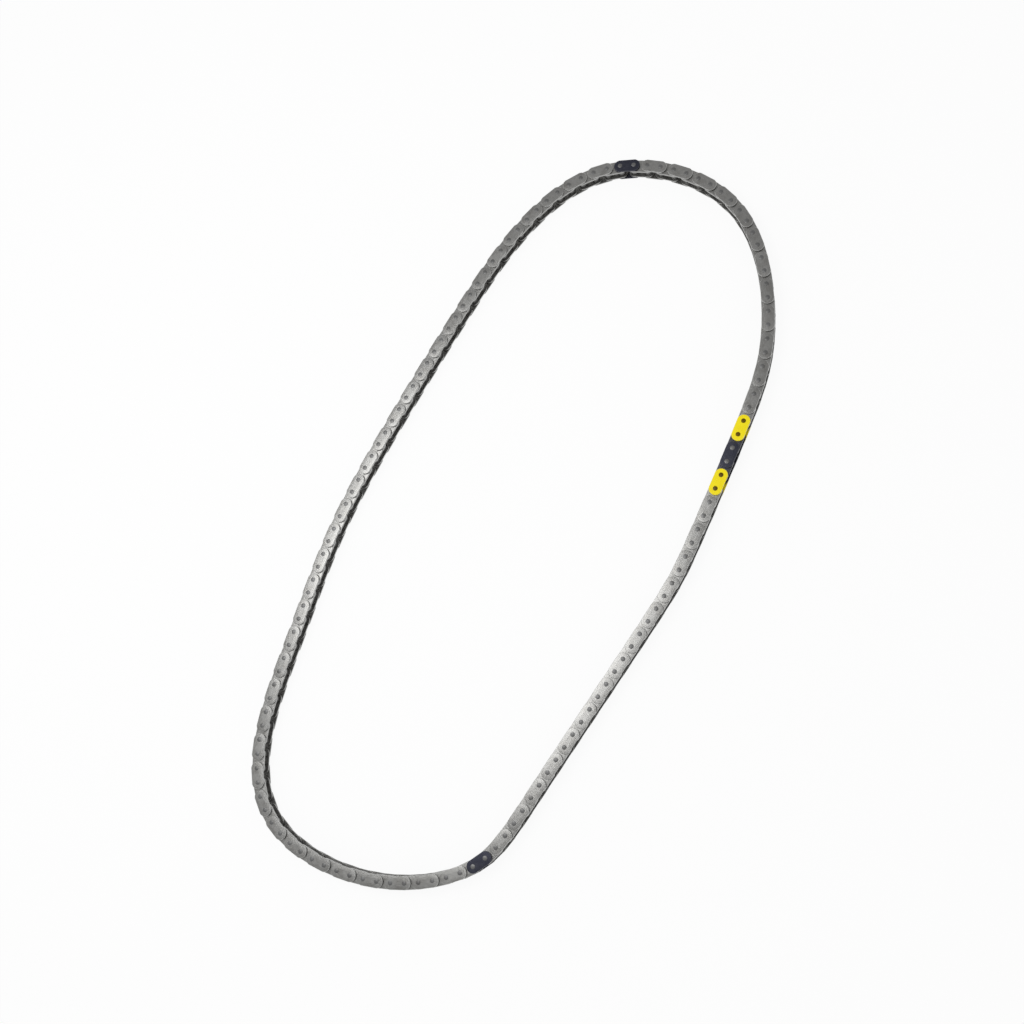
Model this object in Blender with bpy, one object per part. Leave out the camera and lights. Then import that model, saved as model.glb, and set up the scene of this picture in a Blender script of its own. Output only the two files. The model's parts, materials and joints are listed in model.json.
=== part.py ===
"""Balance shaft chain: an endless simplex roller chain lying on its side as a loose loop.

Metres, +Z up. The pins stand along +Z and the long way of the loop runs along X.
The pins are numbered from 0, clockwise as seen from above.
"""

import math

import bmesh
import bpy
import numpy as np
from mathutils import Vector

# Chain sizes
PITCH = 0.008
PIN_COUNT = 134
INSIDE_WIDTH = 0.0046
INNER_PLATE_THICKNESS = 0.0011
OUTER_PLATE_THICKNESS = 0.0010
INNER_END_GAP = 0.0007
OUTER_END_GAP = 0.0009
PIN_DIAMETER = 0.0023
BUSH_WALL = 0.00055
ROLLER_WALL = 0.0006
PIN_PROUD = 0.0002
PIN_CHAMFER = 0.00015

# Running and seating clearances
SIDE_GAP = 0.0003
PIN_CLEARANCE = 0.0001
BUSH_SEAT_GAP = 0.0001
PIN_SEAT_GAP = 0.0001
ROLLER_CLEARANCE = 0.0001
ROLLER_END_GAP = 0.0002
OPEN_PIVOT_EXTRA = 0.0002

# A run of links is one body: how deep its shapes reach into each other, and how wide the neck is
# that joins two inner plates of a run under their outer plate
RUN_LAP = 0.0001
RUN_NECK_WIDTH = 0.0024

# Facets round each shape
PLATE_END_STEPS = 3
ROUND_SIDES = 10
RUN_PIN_SIDES = 6
RUN_COLUMN_SIDES = 4
SPAN_STEPS = 16
SHARP_ANGLE_DEG = 40

# Guide points of the loop, clockwise from pin 0, before the loop is drawn to the chain's length
LAY_GUIDES_MM = [
    (109, -90), (16, -97), (0, -97), (-143, -81),
    (-178, -79), (-218, -30), (-226, 43), (-186, 76),
    (-117, 85), (-55, 97), (21, 95), (102, 90),
    (160, 84), (218, 54), (226, -35), (151, -84),
]
MM = 0.001

# Links that are modelled piece by piece, by their first pin
YELLOW_LINKS = (0, 4)
DARK_LINKS = (2, 34, 108)
INNER_LINKS = (1, 3)

# Every other stretch of the chain is a run of links between these pins
RUN_ENDS = (
    (5, 10, 15, 20, 27, 34),
    (35, 39, 43, 47, 51, 55, 60, 64, 68, 73, 78, 83, 88, 95, 100, 104, 108),
    (109, 113, 117, 121, 125, 129, 134),
)

# The tree of hinges: two branches of pins leave the left bend and meet at the open pivot. Pins past
# the last number are counted on, so that 134 is pin 0
LOWER_BRANCH = (51, 47, 43, 39, 34, 27, 20, 15, 10)
UPPER_BRANCH = (68, 78, 88, 95, 104, 109, 113, 117, 134, 135, 136, 137, 138)
OPEN_PIVOT = 5
ROOT_PIN = 60

# Sizes that follow from the ones above
INNER_PLATE_RADIUS = (PITCH - INNER_END_GAP) / 2
OUTER_PLATE_RADIUS = (PITCH - OUTER_END_GAP) / 2
PIN_RADIUS = PIN_DIAMETER / 2
BUSH_BORE_RADIUS = PIN_RADIUS + PIN_CLEARANCE
BUSH_RADIUS = BUSH_BORE_RADIUS + BUSH_WALL
ROLLER_BORE_RADIUS = BUSH_RADIUS + ROLLER_CLEARANCE
ROLLER_RADIUS = ROLLER_BORE_RADIUS + ROLLER_WALL

# Heights, from the lower pin ends at zero
OUTER_LOW = PIN_PROUD
OUTER_LOW_TOP = OUTER_LOW + OUTER_PLATE_THICKNESS
INNER_LOW = OUTER_LOW_TOP + SIDE_GAP
INSIDE_LOW = INNER_LOW + INNER_PLATE_THICKNESS
INSIDE_HIGH = INSIDE_LOW + INSIDE_WIDTH
INNER_HIGH = INSIDE_HIGH + INNER_PLATE_THICKNESS
OUTER_HIGH_BASE = INNER_HIGH + SIDE_GAP
OUTER_HIGH = OUTER_HIGH_BASE + OUTER_PLATE_THICKNESS
CHAIN_HEIGHT = OUTER_HIGH + PIN_PROUD

# Colours: name, base colour, metallic, roughness
STEEL = ("plate_steel", (0.36, 0.36, 0.35), 1.0, 0.38)
YELLOW = ("yellow_marking", (0.86, 0.72, 0.05), 0.0, 0.45)
DARK = ("dark_marking", (0.045, 0.045, 0.055), 0.6, 0.42)
BROWN = ("brown_pin_steel", (0.10, 0.06, 0.03), 0.8, 0.45)
PIN_STEEL = ("pin_steel", (0.30, 0.30, 0.30), 1.0, 0.35)
BUSH_STEEL = ("bush_steel", (0.22, 0.22, 0.22), 1.0, 0.35)


def clear_scene():
    for thing in list(bpy.data.objects):
        bpy.data.objects.remove(thing, do_unlink=True)


def material(finish):
    name, colour, metallic, roughness = finish
    found = bpy.data.materials.get(name)
    if found:
        return found
    made = bpy.data.materials.new(name)
    made.use_nodes = True
    shader = made.node_tree.nodes["Principled BSDF"]
    shader.inputs["Base Color"].default_value = (*colour, 1.0)
    shader.inputs["Metallic"].default_value = metallic
    shader.inputs["Roughness"].default_value = roughness
    return made


def lay_curve():
    """The closed curve that the guide points pull into shape, as a uniform cubic spline."""
    guides = np.array(LAY_GUIDES_MM) * MM
    steps = np.linspace(0, 1, SPAN_STEPS, endpoint=False)[:, None]
    spans = []
    for i in range(len(guides)):
        before, start, end, after = (guides[(i + k) % len(guides)] for k in (-1, 0, 1, 2))
        spans.append(
            (1 - steps) ** 3 * before
            + (3 * steps**3 - 6 * steps**2 + 4) * start
            + (-3 * steps**3 + 3 * steps**2 + 3 * steps + 1) * end
            + steps**3 * after
        )
    curve = np.vstack(spans) / 6
    return np.vstack([curve, curve[:1]])


def pin_places():
    """Each pin's place: one pitch after another along the lay, drawn to the chain's length."""
    curve = lay_curve()
    legs = np.hypot(*np.diff(curve, axis=0).T)
    along = np.concatenate([[0], np.cumsum(legs)])
    stretch = PITCH * PIN_COUNT / along[-1]
    stops = np.arange(PIN_COUNT) * PITCH
    across = np.interp(stops, along * stretch, curve[:, 0]) * stretch
    away = np.interp(stops, along * stretch, curve[:, 1]) * stretch
    middle = Vector((across.min() + across.max(), away.min() + away.max())) / 2
    return [Vector((x, y)) - middle for x, y in zip(across, away)]


def pin_at(number):
    return PINS[number % PIN_COUNT]


def heading(first):
    step = pin_at(first + 1) - pin_at(first)
    return math.atan2(step.y, step.x)


def is_outer(first):
    return first % 2 == 0


def round_end(centre, from_angle, radius):
    """Half a turn about a pin, anticlockwise from the angle given."""
    angles = [from_angle + math.pi * k / PLATE_END_STEPS for k in range(PLATE_END_STEPS + 1)]
    return [centre + radius * Vector((math.cos(a), math.sin(a))) for a in angles]


def plate_outline(start, end, radius):
    """An oblong plate in plan: a round end about each pin, joined by straight sides."""
    turn = math.atan2(end.y - start.y, end.x - start.x)
    return round_end(end, turn - math.pi / 2, radius) + round_end(start, turn + math.pi / 2, radius)


def strip_outline(first, last, start):
    """The inner plates of a run in plan, each joined to the next by a neck under an outer plate."""
    inner = [number for number in range(first, last) if not is_outer(number)]
    right = []
    left = []
    for number in inner:
        ends = (pin_at(number) - start, pin_at(number + 1) - start)
        along = (ends[1] - ends[0]).normalized()
        across = Vector((-along.y, along.x))
        right += [end - across * INNER_PLATE_RADIUS for end in ends]
        left += [end + across * INNER_PLATE_RADIUS for end in ends]
        if number == inner[0]:
            tail = round_end(ends[0], math.atan2(along.y, along.x) + math.pi / 2, INNER_PLATE_RADIUS)
        if number == inner[-1]:
            nose = round_end(ends[1], math.atan2(along.y, along.x) - math.pi / 2, INNER_PLATE_RADIUS)
            continue
        bridge = pin_at(number + 2) - start
        along = (bridge - ends[1]).normalized()
        across = Vector((-along.y, along.x)) * RUN_NECK_WIDTH / 2
        middle = (ends[1] + bridge) / 2
        right.append(middle - across)
        left.append(middle + across)
    return right + nose[1:-1] + left[::-1] + tail[1:-1]


def circle(centre, radius, sides):
    angles = [2 * math.pi * (k + 0.5) / sides for k in range(sides)]
    return [centre + radius * Vector((math.cos(a), math.sin(a))) for a in angles]


def bore(centre, radius, sides):
    """A faceted hole whose flats, and not its corners, lie at the radius."""
    return circle(centre, radius / math.cos(math.pi / sides), sides)


def add_prism(mesh, loops, low, high):
    """Adds an upright prism. The first loop is its outline, and any others are holes."""
    edges = []
    for loop in loops:
        corners = [mesh.verts.new((point.x, point.y, low)) for point in loop]
        for k, corner in enumerate(corners):
            edges.append(mesh.edges.new((corner, corners[(k + 1) % len(corners)])))
    if len(loops) == 1:
        floor = [mesh.faces.new(corners)]
    else:
        filled = bmesh.ops.triangle_fill(mesh, edges=edges, use_beauty=True)
        floor = [item for item in filled["geom"] if isinstance(item, bmesh.types.BMFace)]
    raised = bmesh.ops.extrude_face_region(mesh, geom=floor)
    lifted = [item for item in raised["geom"] if isinstance(item, bmesh.types.BMVert)]
    bmesh.ops.translate(mesh, verts=lifted, vec=(0, 0, high - low))


def finished(mesh, name):
    """Turns every face of the mesh outwards and shades its round sides smooth."""
    bmesh.ops.recalc_face_normals(mesh, faces=mesh.faces)
    data = bpy.data.meshes.new(name)
    mesh.to_mesh(data)
    mesh.free()
    data.shade_smooth()
    data.set_sharp_from_angle(angle=math.radians(SHARP_ANGLE_DEG))
    return data


def place(data, name, finish, holder, location=(0, 0, 0), turn=0.0):
    data.materials.append(material(finish))
    piece = bpy.data.objects.new(name, data)
    bpy.context.scene.collection.objects.link(piece)
    piece.parent = holder
    piece.location = location
    piece.rotation_euler.z = turn
    return piece


def plate_mesh(name, plate_radius, hole_radius, low, high):
    origin = Vector((0, 0))
    far = Vector((PITCH, 0))
    mesh = bmesh.new()
    loops = [
        plate_outline(origin, far, plate_radius),
        bore(origin, hole_radius, ROUND_SIDES),
        bore(far, hole_radius, ROUND_SIDES),
    ]
    add_prism(mesh, loops, low, high)
    return finished(mesh, name)


def pin_mesh(name):
    """A pin with both ends chamfered."""
    mesh = bmesh.new()
    add_prism(mesh, [circle(Vector((0, 0)), PIN_RADIUS, ROUND_SIDES)], 0, CHAIN_HEIGHT)
    rims = [edge for edge in mesh.edges if edge.verts[0].co.z == edge.verts[1].co.z]
    bmesh.ops.bevel(mesh, geom=rims, offset=PIN_CHAMFER, segments=1, affect="EDGES")
    return finished(mesh, name)


def ring_mesh(name, bore_radius, radius, low, high):
    centre = Vector((0, 0))
    mesh = bmesh.new()
    loops = [circle(centre, radius, ROUND_SIDES), bore(centre, bore_radius, ROUND_SIDES)]
    add_prism(mesh, loops, low, high)
    return finished(mesh, name)


def build_outer_link(name, first, finish, pin_finish):
    """Two outer plates pressed on the two pins of the link that starts at pin first."""
    holder = HOLDERS[first]
    base = (pin_at(first) - holder_place(first)).to_3d()
    turn = heading(first)
    seat = PIN_RADIUS + PIN_SEAT_GAP
    for side, low, high in (
        ("bottom", OUTER_LOW, OUTER_LOW_TOP),
        ("top", OUTER_HIGH_BASE, OUTER_HIGH),
    ):
        title = f"{name}_{side}_plate"
        place(plate_mesh(title, OUTER_PLATE_RADIUS, seat, low, high), title, finish, holder, base, turn)
    for word, number in (("first", first), ("second", first + 1)):
        title = f"{name}_{word}_pin"
        spot = (pin_at(number) - holder_place(first)).to_3d()
        place(pin_mesh(title), title, pin_finish, holder, spot)


def build_inner_link(name, first):
    """Two inner plates pressed on two bushes, with a free roller on each bush."""
    holder = HOLDERS[first]
    base = (pin_at(first) - holder_place(first)).to_3d()
    turn = heading(first)
    seat = BUSH_RADIUS + BUSH_SEAT_GAP
    for side, low, high in (
        ("bottom", INNER_LOW, INSIDE_LOW),
        ("top", INSIDE_HIGH, INNER_HIGH),
    ):
        title = f"{name}_{side}_plate"
        place(plate_mesh(title, INNER_PLATE_RADIUS, seat, low, high), title, STEEL, holder, base, turn)
    for word, number in (("first", first), ("second", first + 1)):
        spot = (pin_at(number) - holder_place(first)).to_3d()
        title = f"{name}_{word}_bush"
        bush = ring_mesh(title, BUSH_BORE_RADIUS, BUSH_RADIUS, INNER_LOW, INNER_HIGH)
        place(bush, title, BUSH_STEEL, holder, spot)
        title = f"{name}_{word}_roller"
        low = INSIDE_LOW + ROLLER_END_GAP
        high = INSIDE_HIGH - ROLLER_END_GAP
        roller = ring_mesh(title, ROLLER_BORE_RADIUS, ROLLER_RADIUS, low, high)
        place(roller, title, BUSH_STEEL, holder, spot)


def helper(mesh, name, holder, spot):
    """A hidden shape that a run is joined with or cut by."""
    piece = bpy.data.objects.new(name, finished(mesh, name))
    bpy.context.scene.collection.objects.link(piece)
    piece.parent = holder
    piece.location = spot
    piece.hide_render = True
    piece.display_type = "WIRE"
    return piece


def add_run_plates(mesh, first, last, start):
    """The outer plates of a run, on the inner plates inside the run and free of them at a hinge."""
    for number in range(first, last):
        if not is_outer(number):
            continue
        ends = (pin_at(number) - start, pin_at(number + 1) - start)
        outline = plate_outline(*ends, OUTER_PLATE_RADIUS)
        free = number in (first, last - 1)
        low_top = OUTER_LOW_TOP if free else INNER_LOW + RUN_LAP
        high_base = OUTER_HIGH_BASE if free else INNER_HIGH - RUN_LAP
        add_prism(mesh, [outline], OUTER_LOW, low_top)
        add_prism(mesh, [outline], high_base, OUTER_HIGH)


def build_run(first, last):
    """The links from pin first to pin last as one body.

    An end with an outer link holds the hinge's pin, and an end with an inner link has the bore.
    """
    name = f"link_run_pins_{first:03d}_{last:03d}"
    holder = HOLDERS[first]
    start = pin_at(first)
    spot = (start - holder_place(first)).to_3d()

    inner = bmesh.new()
    outline = strip_outline(first, last, start)
    add_prism(inner, [outline], INNER_LOW, INSIDE_LOW)
    add_prism(inner, [outline], INSIDE_HIGH, INNER_HIGH)
    run = place(finished(inner, name), name, STEEL, holder, spot)

    outer = bmesh.new()
    add_run_plates(outer, first, last, start)
    columns = bmesh.new()
    bores = bmesh.new()
    bore_count = 0
    for number in range(first, last + 1):
        centre = pin_at(number) - start
        hinge = number in (first, last)
        male = hinge and is_outer(first if number == first else last - 1)
        if male:
            pin = circle(centre, PIN_RADIUS, RUN_PIN_SIDES)
            add_prism(columns, [pin], OUTER_LOW + RUN_LAP, OUTER_HIGH - RUN_LAP)
            continue
        sides = RUN_PIN_SIDES if hinge else RUN_COLUMN_SIDES
        rod = circle(centre, ROLLER_RADIUS, sides)
        add_prism(columns, [rod], INSIDE_LOW - RUN_LAP, INSIDE_HIGH + RUN_LAP)
        if hinge:
            extra = OPEN_PIVOT_EXTRA if number == OPEN_PIVOT else 0
            hole = bore(centre, BUSH_BORE_RADIUS + extra, RUN_PIN_SIDES)
            add_prism(bores, [hole], 0, CHAIN_HEIGHT)
            bore_count += 1
    shafts = bmesh.new()
    for number, neighbour in ((first, first + 1), (last, last - 1)):
        if is_outer(min(number, neighbour)):
            centre = pin_at(neighbour) - start
            shaft = circle(centre, PIN_RADIUS, RUN_COLUMN_SIDES)
            add_prism(shafts, [shaft], OUTER_LOW + RUN_LAP, OUTER_HIGH - RUN_LAP)

    joined = [("outer_plates", outer), ("columns", columns)]
    if len(shafts.verts):
        joined.append(("shafts", shafts))
    for title, mesh in joined:
        union = run.modifiers.new(title, "BOOLEAN")
        union.operation = "UNION"
        union.object = helper(mesh, f"{name}_{title}", holder, spot)
    if bore_count:
        cut = run.modifiers.new("bores", "BOOLEAN")
        cut.operation = "DIFFERENCE"
        cut.object = helper(bores, f"{name}_bores", holder, spot)


def hinge_tree():
    """An empty on every hinge's axis, each the child of the one before it on its branch."""
    root = bpy.data.objects.new("hinge_root", None)
    bpy.context.scene.collection.objects.link(root)
    root.location = pin_at(ROOT_PIN).to_3d()
    empties = {}
    for branch in (LOWER_BRANCH, UPPER_BRANCH):
        parent = root
        parent_place = pin_at(ROOT_PIN)
        for number in branch:
            empty = bpy.data.objects.new(f"hinge_pin_{number % PIN_COUNT:03d}", None)
            bpy.context.scene.collection.objects.link(empty)
            empty.parent = parent
            empty.location = (pin_at(number) - parent_place).to_3d()
            empties[number] = empty
            parent = empty
            parent_place = pin_at(number)
    return root, empties


def holder_pin(first):
    """The pin whose empty carries the link that starts at pin first."""
    counted = first if first >= OPEN_PIVOT else first + PIN_COUNT
    if counted >= UPPER_BRANCH[0]:
        return max(number for number in UPPER_BRANCH if number <= counted)
    if counted < LOWER_BRANCH[0]:
        return min(number for number in LOWER_BRANCH if number > counted)
    return ROOT_PIN


def holder_place(first):
    return pin_at(holder_pin(first))


def holders():
    """The empty that carries each link, by the link's first pin."""
    root, empties = hinge_tree()
    return {first: empties.get(holder_pin(first), root) for first in range(PIN_COUNT)}


def build():
    for number, first in enumerate(YELLOW_LINKS, 1):
        build_outer_link(f"yellow_link_{number}", first, YELLOW, BROWN)
    for number, first in enumerate(DARK_LINKS, 1):
        build_outer_link(f"dark_link_{number}", first, DARK, PIN_STEEL)
    for number, first in enumerate(INNER_LINKS, 1):
        build_inner_link(f"inner_link_{number}", first)
    for ends in RUN_ENDS:
        for first, last in zip(ends, ends[1:]):
            build_run(first, last)


clear_scene()
PINS = pin_places()
HOLDERS = holders()
build()
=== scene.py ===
"""Dresses the balance shaft chain: its plates, pins and rings, their finishes, and the studio."""

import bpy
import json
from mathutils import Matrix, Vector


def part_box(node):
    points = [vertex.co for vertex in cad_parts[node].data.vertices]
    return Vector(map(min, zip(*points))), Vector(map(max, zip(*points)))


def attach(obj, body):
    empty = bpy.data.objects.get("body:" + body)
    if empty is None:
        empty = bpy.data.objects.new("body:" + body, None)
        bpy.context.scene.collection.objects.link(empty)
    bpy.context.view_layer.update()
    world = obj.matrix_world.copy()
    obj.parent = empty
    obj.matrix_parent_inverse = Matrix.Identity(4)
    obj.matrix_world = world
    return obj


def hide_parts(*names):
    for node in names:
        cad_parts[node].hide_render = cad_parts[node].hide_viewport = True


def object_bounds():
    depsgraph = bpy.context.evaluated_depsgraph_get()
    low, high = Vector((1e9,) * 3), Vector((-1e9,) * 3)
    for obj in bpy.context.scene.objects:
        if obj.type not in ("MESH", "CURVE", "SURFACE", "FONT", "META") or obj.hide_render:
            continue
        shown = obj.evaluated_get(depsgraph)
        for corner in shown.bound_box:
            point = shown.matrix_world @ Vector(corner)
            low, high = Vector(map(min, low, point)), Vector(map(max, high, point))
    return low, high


bl_info = {
    "name": "Balance Shaft Chain",
    "version": (1, 0, 0),
    "blender": (4, 5, 0),
    "location": "3D View > Sidebar > Chain",
    "description": "Builds the plates, pins, bushes and rollers of a roller chain on its frame",
    "category": "Object",
}

import json
import math
import random

import bmesh
import bpy
import numpy as np
from mathutils import Matrix, Vector

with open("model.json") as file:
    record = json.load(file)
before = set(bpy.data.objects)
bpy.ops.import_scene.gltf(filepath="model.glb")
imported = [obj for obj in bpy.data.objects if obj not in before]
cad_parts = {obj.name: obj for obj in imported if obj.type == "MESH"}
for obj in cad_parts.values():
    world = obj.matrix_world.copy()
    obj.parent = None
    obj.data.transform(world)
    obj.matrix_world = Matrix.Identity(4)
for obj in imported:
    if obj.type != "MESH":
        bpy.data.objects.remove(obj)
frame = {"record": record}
CAD_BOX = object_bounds()

# The lay of the loop: guide points clockwise from pin 0, drawn to the chain's length
PIN_COUNT = 134
PITCH = 0.008
SPAN_STEPS = 16
MM = 0.001
LAY_GUIDES_MM = [
    (109, -90), (16, -97), (0, -97), (-143, -81),
    (-178, -79), (-218, -30), (-226, 43), (-186, 76),
    (-117, 85), (-55, 97), (21, 95), (102, 90),
    (160, 84), (218, 54), (226, -35), (151, -84),
]

# Links with nodes of their own: name, first pin, plate finish and pin finish
MARKED_LINKS = (
    ("yellow_link_1", 0, "yellow", "brown_pin"),
    ("yellow_link_2", 4, "yellow", "brown_pin"),
    ("dark_link_1", 2, "dark", "pin"),
    ("dark_link_2", 34, "dark", "pin"),
    ("dark_link_3", 108, "dark", "pin"),
)
PLAIN_INNER_LINKS = (("inner_link_1", 1), ("inner_link_2", 3))
RUN_PREFIX = "link_run_pins_"

# Heights, read from the frame: lowest and highest point of each kind of piece
LEVELS = {
    kind: tuple(corner.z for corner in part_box(node))
    for kind, node in {
        "outer_bottom": "dark_link_1_bottom_plate",
        "outer_top": "dark_link_1_top_plate",
        "inner_bottom": "inner_link_1_bottom_plate",
        "inner_top": "inner_link_1_top_plate",
        "pin": "dark_link_1_first_pin",
        "bush": "inner_link_1_first_bush",
        "roller": "inner_link_1_first_roller",
    }.items()
}
SIDES = (("bottom", -1), ("top", 1))

# The photograph's camera
CAMERA_PLACE = (-0.03879, -0.20129, 0.59048)
CAMERA_RIGHT = (0.4702658, -0.842443, -0.2629445)
CAMERA_UP = (0.8803862, 0.4270898, 0.2061903)
CAMERA_LENS_MM = 38.674
CAMERA_SHIFT = (-0.00026, 0.00357)
CAMERA_NEAR = 0.01

SEED = 5
PLATE_SIDES = 16
ROUND_SIDES = 12
SMOOTH_ANGLE_DEG = 35
GRAIN_MAP = "grain"
GRAIN_MAP_SIZE = 0.01
MARKS = ("tone", "edge", "upright")
LEVEL_FACE = 0.9
UPRIGHT_FACE = 0.1
SAME_HEIGHT = MM / 100

# A riveted pin end: how much of its height the flare takes, and the dome's width against the flare's
RIVET_RISE = 0.4
RIVET_DOME = 0.72

# The steels: base colour, colour of the sheared sides, roughness, and the grain's scales along and across
STEELS = {
    "steel": ("plate_steel", "cut_steel", (0.30, 0.42), (4.0, 45.0)),
    "pin": ("pin_steel", "pin_steel", (0.42, 0.55), (12.0, 30.0)),
    # The bushes' and rollers' base colour is darker than the plates' partly as painted shade for the
    # recess between the plates
    "bush": ("bush_steel", "bush_steel", (0.32, 0.44), (3.0, 60.0)),
    "brown_pin": ("brown", "brown", (0.45, 0.60), (12.0, 30.0)),
}
BRUSH_GRAIN = (6.0, 14.0)
OXIDE_GRAIN = (4.0, 45.0)
GRAIN_DEPTH = 0.00002
BRUSH_DEPTH = 0.00003
PAINT_SHINE = 0.2
TONE_SHIFT = 37.0
GRIT_SCALE = 2600.0
FIBRE_SCALE = 700.0
FINISHES = {}

FLOOR_SIZE = 8.0
SOFTBOX_PLACE = (-0.05, 0.21, 0.6)
SOFTBOX_SIZE = (0.3, 0.42)


def pin_places():
    """Each pin's place: one pitch after another along the lay, as in the part's source."""
    guides = np.array(LAY_GUIDES_MM) * MM
    steps = np.linspace(0, 1, SPAN_STEPS, endpoint=False)[:, None]
    spans = []
    for i in range(len(guides)):
        before, start, end, after = (guides[(i + k) % len(guides)] for k in (-1, 0, 1, 2))
        spans.append(
            (1 - steps) ** 3 * before
            + (3 * steps**3 - 6 * steps**2 + 4) * start
            + (-3 * steps**3 + 3 * steps**2 + 3 * steps + 1) * end
            + steps**3 * after
        )
    curve = np.vstack(spans) / 6
    curve = np.vstack([curve, curve[:1]])
    along = np.concatenate([[0], np.cumsum(np.hypot(*np.diff(curve, axis=0).T))])
    stretch = PITCH * PIN_COUNT / along[-1]
    stops = np.arange(PIN_COUNT) * PITCH
    axes = [np.interp(stops, along * stretch, curve[:, k]) * stretch for k in (0, 1)]
    places = np.stack(axes, axis=1)
    places -= (places.min(axis=0) + places.max(axis=0)) / 2
    return [Vector((*place, 0)) for place in places]


PINS = pin_places()
BODIES = frame["record"]["behaviour"]["bodies"]
BODY_OF = {node: body for body, nodes in BODIES.items() for node in nodes}
RUNS = {
    node: tuple(int(word) for word in node[len(RUN_PREFIX):].split("_"))
    for node in sorted(BODY_OF)
    if node.startswith(RUN_PREFIX)
}


def on_link(first):
    """Where a link stands that starts at this pin: its first pin's place, and its turn about +Z."""
    start, end = PINS[first % PIN_COUNT], PINS[(first + 1) % PIN_COUNT]
    heading = math.atan2(end.y - start.y, end.x - start.x)
    return [Matrix.Translation(start) @ Matrix.Rotation(heading, 4, "Z")]


def on_pins(first):
    """Both pins of a link, each turned along the link."""
    (start,) = on_link(first)
    return [start, start @ Matrix.Translation((PITCH, 0, 0))]


# ---------------------------------------------------------------- settings


def length(name, default, description):
    return bpy.props.FloatProperty(
        name=name, description=description, default=default, min=0.0, precision=5, unit="LENGTH"
    )


def colour(name, default, description):
    return bpy.props.FloatVectorProperty(
        name=name, description=description, default=default, min=0.0, max=1.0, size=3, subtype="COLOR"
    )


def factor(name, default, description, most=1.0):
    return bpy.props.FloatProperty(
        name=name, description=description, default=default, min=0.0, max=most, subtype="FACTOR"
    )


class ChainSizes(bpy.types.PropertyGroup):
    """Sizes of the chain's pieces"""

    outer_plate: length("Outer Plate", 0.00355, "Radius of an outer plate's round ends")
    inner_plate: length("Inner Plate", 0.00365, "Radius of an inner plate's round ends")
    plate_edge: length("Plate Edge", 0.00018, "Width of the rounding on a plate's outward edge")
    crown: length("Plate Crown", 0.0001, "How far stamping has drawn a plate's rim below its middle")
    crown_width: length("Crown Width", 0.0011, "Width of the rim that slopes down to the plate's edge")
    pin: length("Pin", 0.00115, "Radius of a pin's shank")
    pin_hole: length("Pin Hole", 0.00117, "Radius of the hole that a pin is pressed into")
    rivet_flare: length("Rivet Flare", 0.00015, "How far a riveted pin end spreads over its hole")
    bush_bore: length("Bush Bore", 0.00125, "Radius of a bush's bore")
    bush: length("Bush", 0.0018, "Outer radius of a bush")
    bush_hole: length("Bush Hole", 0.00182, "Radius of the hole that a bush is pressed into")
    roller_bore: length("Roller Bore", 0.0019, "Radius of a roller's bore")
    roller: length("Roller", 0.0025, "Outer radius of a roller")
    roller_edge: length("Roller Edge", 0.0002, "Width of the chamfer on a roller's ends")


class ChainFinishes(bpy.types.PropertyGroup):
    """Colours and wear of the chain's finishes"""

    plate_steel: colour("Plate Steel", (0.345, 0.343, 0.333), "Rolled and tumbled steel of the plates")
    bright_steel: colour("Bright Steel", (0.62, 0.62, 0.61), "Steel where an edge is rubbed bright")
    cut_steel: colour("Cut Steel", (0.42, 0.42, 0.41), "Sheared sides of the plates")
    oil: colour("Oil Film", (0.18, 0.17, 0.155), "Steel under a thin film of old oil")
    pin_steel: colour("Pin Steel", (0.20, 0.20, 0.20), "Riveted ends of the pins")
    # Bushes and rollers: darker steel than the plates, and part of that darkness is painted shade for the
    # recess between top and bottom plates
    bush_steel: colour("Bush Steel", (0.24, 0.24, 0.235), "Bushes and rollers, dark from hardening")
    yellow: colour("Yellow Paint", (1.0, 0.84, 0.008), "Timing marks of yellow paint")
    yellow_thin: colour("Thin Yellow", (0.92, 0.70, 0.01), "Yellow paint where it has run thin")
    blue_black: colour("Blue-Black", (0.042, 0.044, 0.062), "Blue-black oxide of the dark timing marks")
    blue_worn: colour("Worn Blue-Black", (0.13, 0.13, 0.145), "Blue-black oxide rubbed thin on an edge")
    brown: colour("Brown Pin", (0.15, 0.10, 0.012), "Pin ends on the yellow links")
    wear: factor("Wear", 0.55, "How much of each edge is rubbed bright")
    oiled: factor("Oiled", 0.35, "How much of the steel carries a film of oil")


class StudioSettings(bpy.types.PropertyGroup):
    """Floor and lights of the studio"""

    floor: colour("Floor", (0.90, 0.90, 0.90), "Colour of the floor")
    floor_lift: factor("Floor Lift", 0.92, "Share of plain white that the camera sees in the floor")
    overhead: factor("Overhead", 0.5, "Level of the light from straight above", 4.0)
    horizon: factor("Horizon", 1.0, "Level of the light from the horizon", 4.0)
    softbox: bpy.props.FloatProperty(
        name="Softbox",
        description="Power of the softbox over the strands",
        default=1.6,
        min=0.0,
        unit="POWER",
    )


# ---------------------------------------------------------------- modelling


def deselect():
    if bpy.context.object and bpy.context.object.mode != "OBJECT":
        bpy.ops.object.mode_set(mode="OBJECT")
    bpy.ops.object.select_all(action="DESELECT")


def choose(*pieces):
    """Selects these pieces alone, the first of them active."""
    deselect()
    for piece in pieces:
        piece.select_set(True)
    bpy.context.view_layer.objects.active = pieces[0]


def select_where(piece, kind, test):
    """In edit mode, selects the vertices, edges or faces that pass the test, and nothing else."""
    bpy.ops.mesh.select_mode(type=kind)
    bpy.ops.mesh.select_all(action="DESELECT")
    mesh = bmesh.from_edit_mesh(piece.data)
    mesh.normal_update()
    for item in {"VERT": mesh.verts, "EDGE": mesh.edges, "FACE": mesh.faces}[kind]:
        item.select_set(bool(test(item)))
    mesh.select_flush_mode()
    bmesh.update_edit_mesh(piece.data)


def is_level(edge):
    return abs(edge.verts[0].co.z - edge.verts[1].co.z) < SAME_HEIGHT


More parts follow.
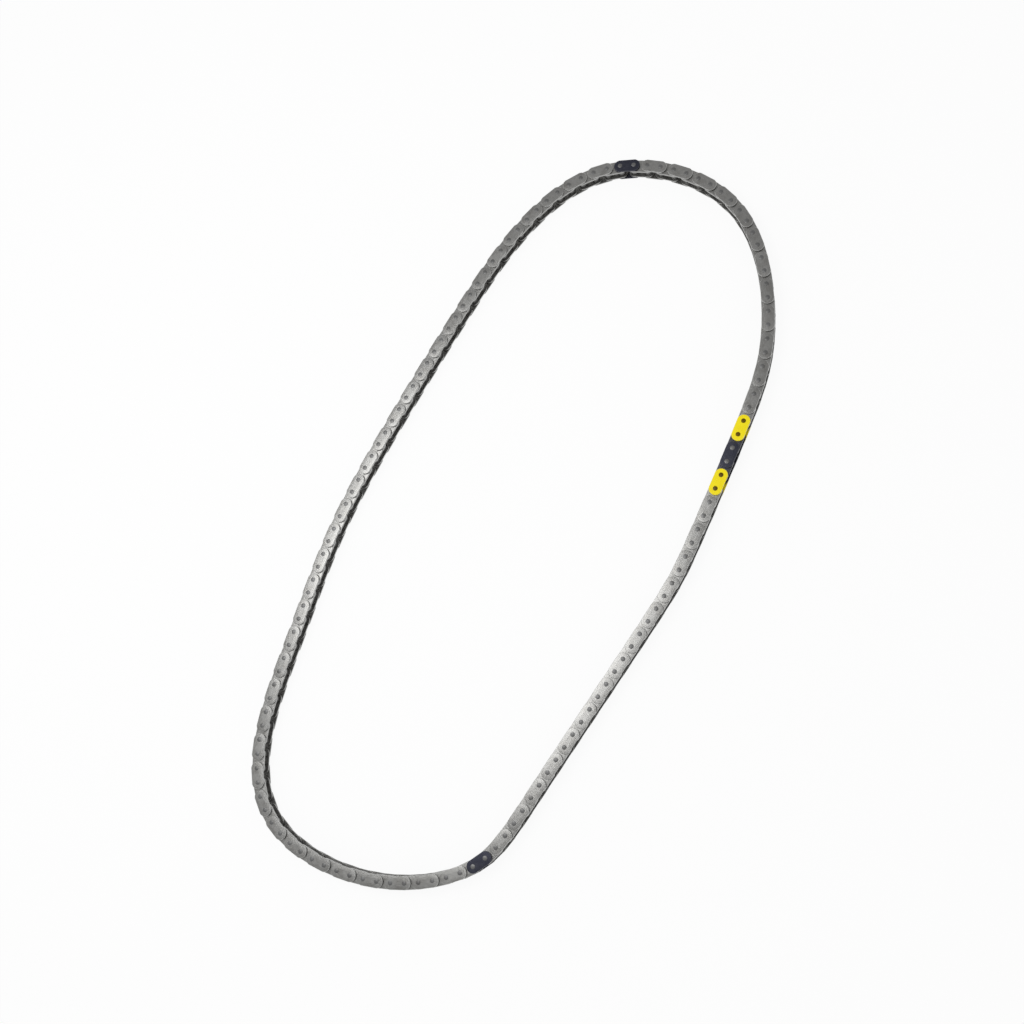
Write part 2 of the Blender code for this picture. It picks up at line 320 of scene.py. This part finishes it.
def add_drum(name, sides, radius, low, high, place=(0.0, 0.0)):
    """An upright cylinder between two heights, with a flat side towards +X."""
    deselect()
    bpy.ops.mesh.primitive_cylinder_add(
        vertices=sides,
        radius=radius,
        depth=high - low,
        location=(*place, (low + high) / 2),
        rotation=(0, 0, math.pi / sides + math.pi / 2),
    )
    drum = bpy.context.object
    drum.name = name
    bpy.ops.object.transform_apply(location=True, rotation=True, scale=True)
    return drum


def finish_shape(piece):
    """Lays the grain's map, marks the rounded edges and the upright sides, and shades what is round."""
    choose(piece)
    bpy.ops.object.mode_set(mode="EDIT")
    bpy.ops.mesh.select_all(action="SELECT")
    bpy.ops.mesh.normals_make_consistent(inside=False)
    bpy.ops.uv.cube_project(cube_size=GRAIN_MAP_SIZE, correct_aspect=False)
    bpy.ops.object.mode_set(mode="OBJECT")
    bpy.ops.object.shade_smooth_by_angle(angle=math.radians(SMOOTH_ANGLE_DEG))
    piece.data.uv_layers[0].name = GRAIN_MAP
    slopes = [abs(face.normal.z) for face in piece.data.polygons]
    rounded = piece.data.attributes.new("edge", "FLOAT", "FACE")
    rounded.data.foreach_set("value", [float(UPRIGHT_FACE < slope < LEVEL_FACE) for slope in slopes])
    upright = piece.data.attributes.new("upright", "FLOAT", "FACE")
    upright.data.foreach_set("value", [float(slope <= UPRIGHT_FACE) for slope in slopes])
    return piece


def drill(piece, radius, centres, low, high):
    """Cuts upright holes through a piece."""
    bits = [add_drum("drill", ROUND_SIDES, radius, low - MM, high + MM, centre) for centre in centres]
    choose(*bits)
    bpy.ops.object.join()
    cutter = bpy.context.object
    choose(piece)
    cut = piece.modifiers.new("holes", "BOOLEAN")
    cut.operation = "DIFFERENCE"
    cut.solver = "EXACT"
    cut.object = cutter
    bpy.ops.object.modifier_apply(modifier=cut.name)
    bpy.data.objects.remove(cutter)


def model_plate(name, radius, hole, levels, outward, sizes):
    """A stamped plate over its two pins: its outward face slopes down to a rounded edge."""
    low, high = levels
    if outward > 0:
        high -= sizes.crown
    else:
        low += sizes.crown
    plate = add_drum(name, PLATE_SIDES, radius / math.cos(math.pi / PLATE_SIDES), low, high)
    bpy.ops.object.mode_set(mode="EDIT")
    select_where(plate, "VERT", lambda corner: corner.co.x > 0)
    bpy.ops.transform.translate(value=(PITCH, 0, 0))
    face_height = high if outward > 0 else low
    select_where(
        plate,
        "EDGE",
        lambda edge: is_level(edge)
        and abs(edge.verts[0].co.z - face_height) < SAME_HEIGHT
        and sum(abs(face.normal.z) < UPRIGHT_FACE for face in edge.link_faces) == 1,
    )
    bpy.ops.mesh.bevel(offset=sizes.plate_edge, segments=1, affect="EDGES")
    select_where(plate, "FACE", lambda face: face.normal.z * outward > LEVEL_FACE)
    bpy.ops.mesh.inset(thickness=sizes.crown_width)
    bpy.ops.transform.translate(value=(0, 0, outward * sizes.crown))
    bpy.ops.object.mode_set(mode="OBJECT")
    drill(plate, hole, [(0, 0), (PITCH, 0)], low, high)
    return finish_shape(plate)


def model_pin(name, sizes):
    """A pin with both ends riveted over: each spreads past the shank, and closes in a low dome."""
    low, high = LEVELS["outer_bottom"][0], LEVELS["outer_top"][1]
    pin = add_drum(name, ROUND_SIDES, sizes.pin, low, high)
    proud = LEVELS["pin"][1] - high
    flare = (sizes.pin + sizes.rivet_flare) / sizes.pin
    bpy.ops.object.mode_set(mode="EDIT")
    for side in (-1, 1):
        select_where(pin, "FACE", lambda face: face.normal.z * side > LEVEL_FACE)
        for rise, scale in ((RIVET_RISE, flare), (1 - RIVET_RISE, RIVET_DOME)):
            step = (0, 0, side * proud * rise)
            bpy.ops.mesh.extrude_region_move(TRANSFORM_OT_translate={"value": step})
            bpy.ops.transform.resize(value=(scale, scale, 1), center_override=(0, 0, 0))
    bpy.ops.object.mode_set(mode="OBJECT")
    return finish_shape(pin)


def model_ring(name, bore, radius, levels, chamfer=0.0):
    """A turned ring: bored through, with a chamfer on its outer rims."""
    ring = add_drum(name, ROUND_SIDES, radius, *levels)
    bpy.ops.object.mode_set(mode="EDIT")
    if chamfer:
        select_where(ring, "EDGE", is_level)
        bpy.ops.mesh.bevel(offset=chamfer, segments=1, affect="EDGES")
    select_where(ring, "FACE", lambda face: abs(face.normal.z) > LEVEL_FACE)
    flats = radius * math.cos(math.pi / ROUND_SIDES)
    bpy.ops.mesh.inset(thickness=flats - chamfer - bore)
    bpy.ops.mesh.bridge_edge_loops()
    bpy.ops.object.mode_set(mode="OBJECT")
    return finish_shape(ring)


def lay_copies(master, name, spots, slot, *nodes):
    """Joins copies of the master, one on each spot and each with a shade of its own, as one piece."""
    shade = random.Random(f"{SEED} {name}")
    copies = []
    for spot in spots:
        copy = master.copy()
        copy.data = master.data.copy()
        copy.data.transform(spot)
        bpy.context.scene.collection.objects.link(copy)
        tone = copy.data.attributes.new("tone", "FLOAT", "FACE")
        tone.data.foreach_set("value", [shade.random()] * len(copy.data.polygons))
        copies.append(copy)
    choose(*copies)
    if len(copies) > 1:
        bpy.ops.object.join()
    piece = bpy.context.object
    piece.name = name
    piece.data.name = name
    piece.data.materials.clear()
    piece.data.materials.append(finish_for(slot))
    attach(piece, BODY_OF[nodes[0]])
    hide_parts(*nodes)
    return piece


def stain(piece):
    """Marks a piece that its finish darkens most of the way to blue-black."""
    marked = piece.data.attributes.new("stain", "FLOAT", "FACE")
    marked.data.foreach_set("value", [1.0] * len(piece.data.polygons))


def lay_along_runs(master, kind, slot, parity, spots_of):
    """Lays copies of the master on every outer (0) or inner (1) link of each run."""
    for node, (first, last) in RUNS.items():
        links = [link for link in range(first, last) if link % 2 == parity]
        spots = [spot for link in links for spot in spots_of(link)]
        lay_copies(master, f"{kind}_{first:03d}_{last:03d}", spots, slot, node)


def discard(master):
    mesh = master.data
    bpy.data.objects.remove(master)
    bpy.data.meshes.remove(mesh)


# ---------------------------------------------------------------- node helpers


def set_inputs(tree, node, inputs):
    for socket, value in inputs.items():
        if isinstance(value, bpy.types.NodeSocket):
            tree.links.new(value, node.inputs[socket])
        else:
            node.inputs[socket].default_value = value
    return node


def add_node(tree, kind, place, inputs=None, **settings):
    node = tree.nodes.new(kind)
    node.location = place
    for setting, value in settings.items():
        setattr(node, setting, value)
    return set_inputs(tree, node, inputs or {})


def mixed(tree, place, share, first, second):
    """A colour between two others."""
    mix = add_node(tree, "ShaderNodeMix", place, data_type="RGBA")
    return set_inputs(tree, mix, {0: share, 6: first, 7: second}).outputs[2]


def spread(tree, place, value, start, end, low=0.0, high=1.0):
    """Stretches a value's part from start to end over low to high."""
    inputs = {0: value, 1: start, 2: end, 3: low, 4: high}
    return add_node(tree, "ShaderNodeMapRange", place, inputs).outputs[0]


def sums(tree, place, operation, first, second):
    inputs = {0: first, 1: second}
    return add_node(tree, "ShaderNodeMath", place, inputs, operation=operation).outputs[0]


def vectors(tree, place, operation, first, second):
    inputs = {0: first, 1: second}
    return add_node(tree, "ShaderNodeVectorMath", place, inputs, operation=operation).outputs[0]


def noise(tree, place, vector, scale, detail=3.0, roughness=0.5):
    inputs = {"Vector": vector, "Scale": scale, "Detail": detail, "Roughness": roughness}
    return add_node(tree, "ShaderNodeTexNoise", place, inputs).outputs[0]


def start_group(name, inputs, outputs):
    """An empty shader node group with its named sockets."""
    group = bpy.data.node_groups.new(name, "ShaderNodeTree")
    for title, default in inputs:
        kind = "NodeSocketVector" if default is None else "NodeSocketFloat"
        socket = group.interface.new_socket(name=title, in_out="INPUT", socket_type=kind)
        if default is not None:
            socket.default_value = default
    for title in outputs:
        group.interface.new_socket(name=title, in_out="OUTPUT", socket_type="NodeSocketFloat")
    start = add_node(group, "NodeGroupInput", (-900, 0))
    end = add_node(group, "NodeGroupOutput", (600, 0))
    return group, start.outputs, end


def place_group(tree, name, place, inputs):
    """Places one of the effects in a material with its own values, and builds it the first time."""
    group = bpy.data.node_groups.get(name) or EFFECTS[name](name)
    node = add_node(tree, "ShaderNodeGroup", place, node_tree=group)
    return set_inputs(tree, node, inputs).outputs


# ---------------------------------------------------------------- effects


def rolled_grain(name):
    """Fine lines along the strip that a piece was rolled or turned from, and pits from tumbling."""
    inputs = [("Vector", None), ("Tone", 0.5), ("Along", 4.0), ("Across", 45.0), ("Pits", 30.0)]
    group, start, end = start_group(name, inputs, ["Grain", "Pitting"])
    shift = sums(group, (-700, -200), "MULTIPLY", start["Tone"], TONE_SHIFT)
    offset = add_node(group, "ShaderNodeCombineXYZ", (-520, -200), {0: shift, 1: shift}).outputs[0]
    moved = vectors(group, (-340, 0), "ADD", start["Vector"], offset)
    stretch = {0: start["Along"], 1: start["Across"], 2: start["Across"]}
    scale = add_node(group, "ShaderNodeCombineXYZ", (-520, 200), stretch).outputs[0]
    lines = noise(group, (20, 100), vectors(group, (-160, 100), "MULTIPLY", moved, scale), 1.0)
    pits = noise(group, (20, -160), moved, start["Pits"], 2.0, 0.6)
    group.links.new(spread(group, (220, 100), lines, 0.3, 0.7), end.inputs["Grain"])
    group.links.new(spread(group, (220, -160), pits, 0.55, 0.72), end.inputs["Pitting"])
    return group


def edge_wear(name):
    """Where an edge has been rubbed bright: the marked edges, broken up by handling."""
    inputs = [("Vector", None), ("Edge", 0.0), ("Amount", 0.5), ("Scale", 12.0)]
    group, start, end = start_group(name, inputs, ["Mask"])
    rub = noise(group, (-600, 0), start["Vector"], start["Scale"])
    least = sums(group, (-600, -220), "SUBTRACT", 0.75, start["Amount"])
    worn = spread(group, (-380, 0), rub, least, 0.8)
    mask = sums(group, (-160, 0), "MULTIPLY", worn, start["Edge"])
    group.links.new(mask, end.inputs["Mask"])
    return group


def oil_film(name):
    """Patches where old oil has dried on the steel, and the specks of dust in them."""
    inputs = [("Vector", None), ("Scale", 240.0), ("Cover", 0.35)]
    group, start, end = start_group(name, inputs, ["Mask", "Specks"])
    patches = noise(group, (-600, 0), start["Vector"], start["Scale"], 4.0, 0.62)
    least = sums(group, (-600, -220), "SUBTRACT", 0.8, start["Cover"])
    mask = spread(group, (-340, 0), patches, least, 0.85)
    grit = noise(group, (-600, -420), start["Vector"], GRIT_SCALE, 1.0)
    dusty = spread(group, (-340, -420), grit, 0.62, 0.7)
    specks = sums(group, (-160, -300), "MULTIPLY", dusty, mask)
    group.links.new(mask, end.inputs["Mask"])
    group.links.new(specks, end.inputs["Specks"])
    return group


EFFECTS = {"Rolled Grain": rolled_grain, "Edge Wear": edge_wear, "Oil Film": oil_film}


# ---------------------------------------------------------------- finishes


def opaque(rgb, level=1.0):
    return tuple(part * level for part in rgb) + (1.0,)


def attribute(tree, place, name):
    return add_node(tree, "ShaderNodeAttribute", place, attribute_name=name).outputs["Fac"]


def start_finish(name, scales, finishes, handling=1.0):
    """A finish with its shader and the effects that all of the chain's finishes use."""
    along, across = scales
    made = bpy.data.materials.new(name)
    made.use_nodes = True
    tree = made.node_tree
    tree.nodes.clear()
    shader = add_node(tree, "ShaderNodeBsdfPrincipled", (700, 0))
    add_node(tree, "ShaderNodeOutputMaterial", (1000, 0), {"Surface": shader.outputs["BSDF"]})
    grain_map = add_node(tree, "ShaderNodeUVMap", (-1300, 200), uv_map=GRAIN_MAP).outputs[0]
    place = add_node(tree, "ShaderNodeTexCoord", (-1300, -200)).outputs["Object"]
    marks = {kind: attribute(tree, (-1300, -500 - 200 * k), kind) for k, kind in enumerate(MARKS)}
    drawn = {"Vector": grain_map, "Tone": marks["tone"], "Along": along, "Across": across}
    rubbed = {"Vector": grain_map, "Edge": marks["edge"], "Amount": finishes.wear * handling}
    grain = place_group(tree, "Rolled Grain", (-1000, 300), drawn)
    worn = place_group(tree, "Edge Wear", (-1000, 0), rubbed)["Mask"]
    film = place_group(tree, "Oil Film", (-1000, -300), {"Vector": place, "Cover": finishes.oiled})
    FINISHES[name] = made
    return tree, shader, marks, grain, worn, film


def add_relief(tree, shader, grain, depth):
    """Bump from the grain, with the pits sunk below it."""
    relief = sums(tree, (200, -500), "SUBTRACT", grain["Grain"], grain["Pitting"])
    inputs = {"Strength": 0.6, "Distance": depth, "Height": relief}
    bump = add_node(tree, "ShaderNodeBump", (420, -500), inputs)
    tree.links.new(bump.outputs[0], shader.inputs["Normal"])


def make_steel(name, finishes):
    """Bare steel: drawn grain, a shade for each copy, an oil film, and edges rubbed bright."""
    base, cut, rough, scales = STEELS[name]
    base, cut = getattr(finishes, base), getattr(finishes, cut)
    tree, shader, marks, grain, worn, film = start_finish(name, scales, finishes)
    level = base[0] / finishes.plate_steel[0]
    tint = mixed(tree, (-700, 300), grain["Grain"], opaque(base, 0.84), opaque(base, 1.12))
    shade = spread(tree, (-700, 100), marks["tone"], 0.0, 1.0, 0.0, 0.5)
    tint = mixed(tree, (-480, 300), shade, tint, opaque(base, 0.68))
    oil = sums(tree, (-480, 0), "MULTIPLY", film["Mask"], 0.6)
    tint = mixed(tree, (-260, 300), oil, tint, opaque(finishes.oil, level))
    grit = sums(tree, (-260, 0), "MULTIPLY", film["Specks"], 0.6)
    tint = mixed(tree, (-40, 300), grit, tint, opaque(base, 0.3))
    tint = mixed(tree, (180, 300), marks["upright"], tint, opaque(cut))
    # Pieces marked to darken are mixed most of the way to blue-black, with less of their edges rubbed
    # bright
    darkening = sums(tree, (180, 500), "MULTIPLY", attribute(tree, (0, 500), "stain"), 0.85)
    tint = mixed(tree, (360, 300), darkening, tint, opaque(finishes.blue_black, level))
    bared = spread(tree, (360, 500), darkening, 0.0, 1.0, 1.0, 0.2)
    worn = sums(tree, (540, 500), "MULTIPLY", worn, bared)
    tint = mixed(tree, (540, 300), worn, tint, opaque(finishes.bright_steel, level))
    roughness = spread(tree, (-260, -200), grain["Grain"], 0.0, 1.0, *rough)
    sheen = sums(tree, (-260, -350), "MULTIPLY", oil, 0.12)
    roughness = sums(tree, (-40, -200), "SUBTRACT", roughness, sheen)
    sheared = sums(tree, (-40, -350), "MULTIPLY", marks["upright"], 0.12)
    roughness = sums(tree, (180, -200), "ADD", roughness, sheared)
    set_inputs(tree, shader, {"Base Color": tint, "Roughness": roughness, "Metallic": 1.0})
    add_relief(tree, shader, grain, GRAIN_DEPTH)


def make_paint(name, finishes):
    """Paint brushed over a plate: thin in patches, and worn to the steel on the edges."""
    paint, thin = finishes.yellow, finishes.yellow_thin
    tree, shader, _, grain, worn, film = start_finish(name, BRUSH_GRAIN, finishes, 0.6)
    brushed = spread(tree, (-900, 500), grain["Grain"], 0.2, 1.0, 0.0, 0.35)
    tint = mixed(tree, (-700, 300), brushed, opaque(paint), opaque(thin))
    patches = sums(tree, (-700, 0), "MULTIPLY", film["Mask"], 0.4)
    tint = mixed(tree, (-480, 300), patches, tint, opaque(thin))
    grit = sums(tree, (-480, 0), "MULTIPLY", film["Specks"], 0.5)
    tint = mixed(tree, (-260, 300), grit, tint, opaque(finishes.brown))
    tint = mixed(tree, (-40, 300), worn, tint, opaque(finishes.bright_steel))
    roughness = spread(tree, (-260, -200), grain["Grain"], 0.0, 1.0, 0.36, 0.52)
    surface = {"Base Color": tint, "Roughness": roughness, "Metallic": worn}
    set_inputs(tree, shader, {**surface, "Specular IOR Level": PAINT_SHINE})
    add_relief(tree, shader, grain, BRUSH_DEPTH)


def make_oxide(name, finishes):
    """Blue-black oxide on steel: darker along the grain, and rubbed thin on the edges."""
    dark = finishes.blue_black
    tree, shader, marks, grain, worn, film = start_finish(name, OXIDE_GRAIN, finishes)
    tint = mixed(tree, (-700, 300), grain["Grain"], opaque(dark, 0.8), opaque(dark, 1.25))
    shade = spread(tree, (-700, 100), marks["tone"], 0.0, 1.0, 0.0, 0.3)
    tint = mixed(tree, (-480, 300), shade, tint, opaque(dark, 0.6))
    haze = sums(tree, (-480, 0), "MULTIPLY", film["Mask"], 0.25)
    tint = mixed(tree, (-260, 300), haze, tint, opaque(finishes.blue_worn))
    tint = mixed(tree, (-40, 300), worn, tint, opaque(finishes.blue_worn))
    roughness = spread(tree, (-260, -200), grain["Grain"], 0.0, 1.0, 0.34, 0.5)
    set_inputs(tree, shader, {"Base Color": tint, "Roughness": roughness, "Metallic": 0.85})
    add_relief(tree, shader, grain, GRAIN_DEPTH)


def finish_for(slot):
    """The finish of one of the record's slots, made the first time it is asked for."""
    if slot not in FINISHES:
        make = make_steel if slot in STEELS else {"yellow": make_paint, "dark": make_oxide}[slot]
        make(slot, bpy.context.scene.chain_finishes)
    return FINISHES[slot]


# ---------------------------------------------------------------- operators


class CHAIN_OT_outer_plates(bpy.types.Operator):
    """Lay the outer plates, above and below, on the runs and on the marked links"""

    bl_idname = "chain.outer_plates"
    bl_label = "Outer Plates"

    def execute(self, context):
        sizes = context.scene.chain_sizes
        for side, outward in SIDES:
            levels = LEVELS[f"outer_{side}"]
            plate = model_plate("plate", sizes.outer_plate, sizes.pin_hole, levels, outward, sizes)
            lay_along_runs(plate, f"outer_{side}_plates", "steel", 0, on_link)
            for name, first, paint, _ in MARKED_LINKS:
                node = f"{name}_{side}_plate"
                lay_copies(plate, f"{node}_finished", on_link(first), paint, node)
            discard(plate)
        return {"FINISHED"}


class CHAIN_OT_inner_plates(bpy.types.Operator):
    """Lay the inner plates, above and below, on every inner link"""

    bl_idname = "chain.inner_plates"
    bl_label = "Inner Plates"

    def execute(self, context):
        sizes = context.scene.chain_sizes
        for side, outward in SIDES:
            levels = LEVELS[f"inner_{side}"]
            plate = model_plate("plate", sizes.inner_plate, sizes.bush_hole, levels, outward, sizes)
            lay_along_runs(plate, f"inner_{side}_plates", "steel", 1, on_link)
            for name, first in PLAIN_INNER_LINKS:
                node = f"{name}_{side}_plate"
                # The plain inner links' plates, beside the first dark link, are marked to darken towards
                # blue-black
                stain(lay_copies(plate, f"{node}_finished", on_link(first), "steel", node))
            discard(plate)
        return {"FINISHED"}


class CHAIN_OT_pins(bpy.types.Operator):
    """Rivet a pin through both ends of every outer link"""

    bl_idname = "chain.pins"
    bl_label = "Pins"

    def execute(self, context):
        pin = model_pin("pin", context.scene.chain_sizes)
        lay_along_runs(pin, "pins", "pin", 0, on_pins)
        for name, first, _, steel in MARKED_LINKS:
            for word, spot in zip(("first", "second"), on_pins(first)):
                node = f"{name}_{word}_pin"
                lay_copies(pin, f"{node}_finished", [spot], steel, node)
        discard(pin)
        return {"FINISHED"}


class CHAIN_OT_bushes(bpy.types.Operator):
    """Press a bush through both ends of every inner link"""

    bl_idname = "chain.bushes"
    bl_label = "Bushes"

    def execute(self, context):
        sizes = context.scene.chain_sizes
        lay_rings(model_ring("bush", sizes.bush_bore, sizes.bush, LEVELS["bush"]), "bush", "bushes")
        return {"FINISHED"}


class CHAIN_OT_rollers(bpy.types.Operator):
    """Put a roller on every bush"""

    bl_idname = "chain.rollers"
    bl_label = "Rollers"

    def execute(self, context):
        sizes = context.scene.chain_sizes
        bore, radius, edge = sizes.roller_bore, sizes.roller, sizes.roller_edge
        lay_rings(model_ring("roller", bore, radius, LEVELS["roller"], edge), "roller", "rollers")
        return {"FINISHED"}


def lay_rings(ring, kind, kinds):
    """Lays a ring about both pins of every inner link."""
    lay_along_runs(ring, kinds, "bush", 1, on_pins)
    for name, first in PLAIN_INNER_LINKS:
        for word, spot in zip(("first", "second"), on_pins(first)):
            node = f"{name}_{word}_{kind}"
            lay_copies(ring, f"{node}_finished", [spot], "bush", node)
    discard(ring)


class CHAIN_OT_stage(bpy.types.Operator):
    """Set the floor, the lights and the photograph's camera"""

    bl_idname = "chain.stage"
    bl_label = "Stage"

    def execute(self, context):
        studio = context.scene.chain_studio
        lay_floor(studio)
        light_room(context.scene, studio)
        hang_softbox(studio)
        place_camera(context.scene)
        context.scene.view_settings.view_transform = "Standard"
        return {"FINISHED"}


def lay_floor(studio):
    deselect()
    bpy.ops.mesh.primitive_plane_add(size=FLOOR_SIZE, location=(0, 0, CAD_BOX[0][2]))
    floor = bpy.context.object
    floor.name = "floor"
    bpy.ops.object.transform_apply(location=True, rotation=True, scale=True)
    finish = bpy.data.materials.new("floor_paper")
    finish.use_nodes = True
    tree = finish.node_tree
    shader = tree.nodes["Principled BSDF"]
    place = add_node(tree, "ShaderNodeTexCoord", (-900, 0)).outputs["Object"]
    fibre = noise(tree, (-700, 0), place, FIBRE_SCALE, 2.0)
    paper = mixed(tree, (-400, 0), fibre, opaque(studio.floor, 0.985), opaque(studio.floor, 1.015))
    rays = add_node(tree, "ShaderNodeLightPath", (-900, -400)).outputs
    seen = sums(tree, (-700, -400), "ADD", rays["Is Camera Ray"], rays["Is Glossy Ray"])
    seen = sums(tree, (-500, -400), "ADD", seen, rays["Is Transmission Ray"])
    lift = sums(tree, (-300, -400), "MULTIPLY", seen, studio.floor_lift)
    set_inputs(tree, shader, {"Base Color": paper, "Roughness": 0.9})
    white = add_node(tree, "ShaderNodeEmission", (0, -400), {"Color": opaque((1, 1, 1))}).outputs[0]
    shades = {0: lift, 1: shader.outputs["BSDF"], 2: white}
    shown = add_node(tree, "ShaderNodeMixShader", (300, 0), shades).outputs[0]
    set_inputs(tree, tree.nodes["Material Output"], {"Surface": shown})
    floor.data.materials.append(finish)


def light_room(scene, studio):
    """A pale room: brightest round the horizon, and dimmer overhead."""
    world = bpy.data.worlds.new("studio_room")
    world.use_nodes = True
    tree = world.node_tree
    direction = add_node(tree, "ShaderNodeTexCoord", (-900, 0)).outputs["Generated"]
    height = add_node(tree, "ShaderNodeSeparateXYZ", (-700, 0), {0: direction}).outputs["Z"]
    level = spread(tree, (-500, 0), height, 0.1, 0.75, studio.horizon, studio.overhead)
    set_inputs(tree, tree.nodes["Background"], {"Color": opaque((1, 1, 1)), "Strength": level})
    scene.world = world


def hang_softbox(studio):
    """A long softbox, which the middles of both strands mirror to the camera."""
    lamp = bpy.data.lights.new("softbox", "AREA")
    lamp.shape = "RECTANGLE"
    lamp.size, lamp.size_y = SOFTBOX_SIZE
    lamp.energy = studio.softbox
    box = bpy.data.objects.new("softbox", lamp)
    box.location = SOFTBOX_PLACE
    box.visible_camera = False
    bpy.context.scene.collection.objects.link(box)


def place_camera(scene):
    camera = bpy.data.objects.new("camera", bpy.data.cameras.new("camera"))
    camera.data.lens = CAMERA_LENS_MM
    camera.data.shift_x, camera.data.shift_y = CAMERA_SHIFT
    camera.data.clip_start = CAMERA_NEAR
    right, up = Vector(CAMERA_RIGHT), Vector(CAMERA_UP)
    turn = Matrix((right, up, right.cross(up))).transposed().to_4x4()
    camera.matrix_world = Matrix.Translation(CAMERA_PLACE) @ turn
    scene.collection.objects.link(camera)
    scene.camera = camera


class CHAIN_PT_panel(bpy.types.Panel):
    """The chain's sizes, finishes and pieces"""

    bl_label = "Balance Shaft Chain"
    bl_space_type = "VIEW_3D"
    bl_region_type = "UI"
    bl_category = "Chain"

    def draw(self, context):
        scene = context.scene
        for settings in (scene.chain_sizes, scene.chain_finishes, scene.chain_studio):
            box = self.layout.box()
            for name in settings.__annotations__:
                box.prop(settings, name)
        for operator in OPERATORS:
            self.layout.operator(operator.bl_idname)


OPERATORS = (
    CHAIN_OT_outer_plates,
    CHAIN_OT_inner_plates,
    CHAIN_OT_pins,
    CHAIN_OT_bushes,
    CHAIN_OT_rollers,
    CHAIN_OT_stage,
)
CLASSES = (ChainSizes, ChainFinishes, StudioSettings, *OPERATORS, CHAIN_PT_panel)


def register():
    for kind in CLASSES:
        bpy.utils.register_class(kind)
    bpy.types.Scene.chain_sizes = bpy.props.PointerProperty(type=ChainSizes)
    bpy.types.Scene.chain_finishes = bpy.props.PointerProperty(type=ChainFinishes)
    bpy.types.Scene.chain_studio = bpy.props.PointerProperty(type=StudioSettings)


def unregister():
    del bpy.types.Scene.chain_studio
    del bpy.types.Scene.chain_finishes
    del bpy.types.Scene.chain_sizes
    for kind in reversed(CLASSES):
        bpy.utils.unregister_class(kind)


def main():
    register()
    bpy.ops.chain.outer_plates()
    bpy.ops.chain.inner_plates()
    bpy.ops.chain.pins()
    bpy.ops.chain.bushes()
    bpy.ops.chain.rollers()
    bpy.ops.chain.stage()


if __name__ == "__main__":
    main()
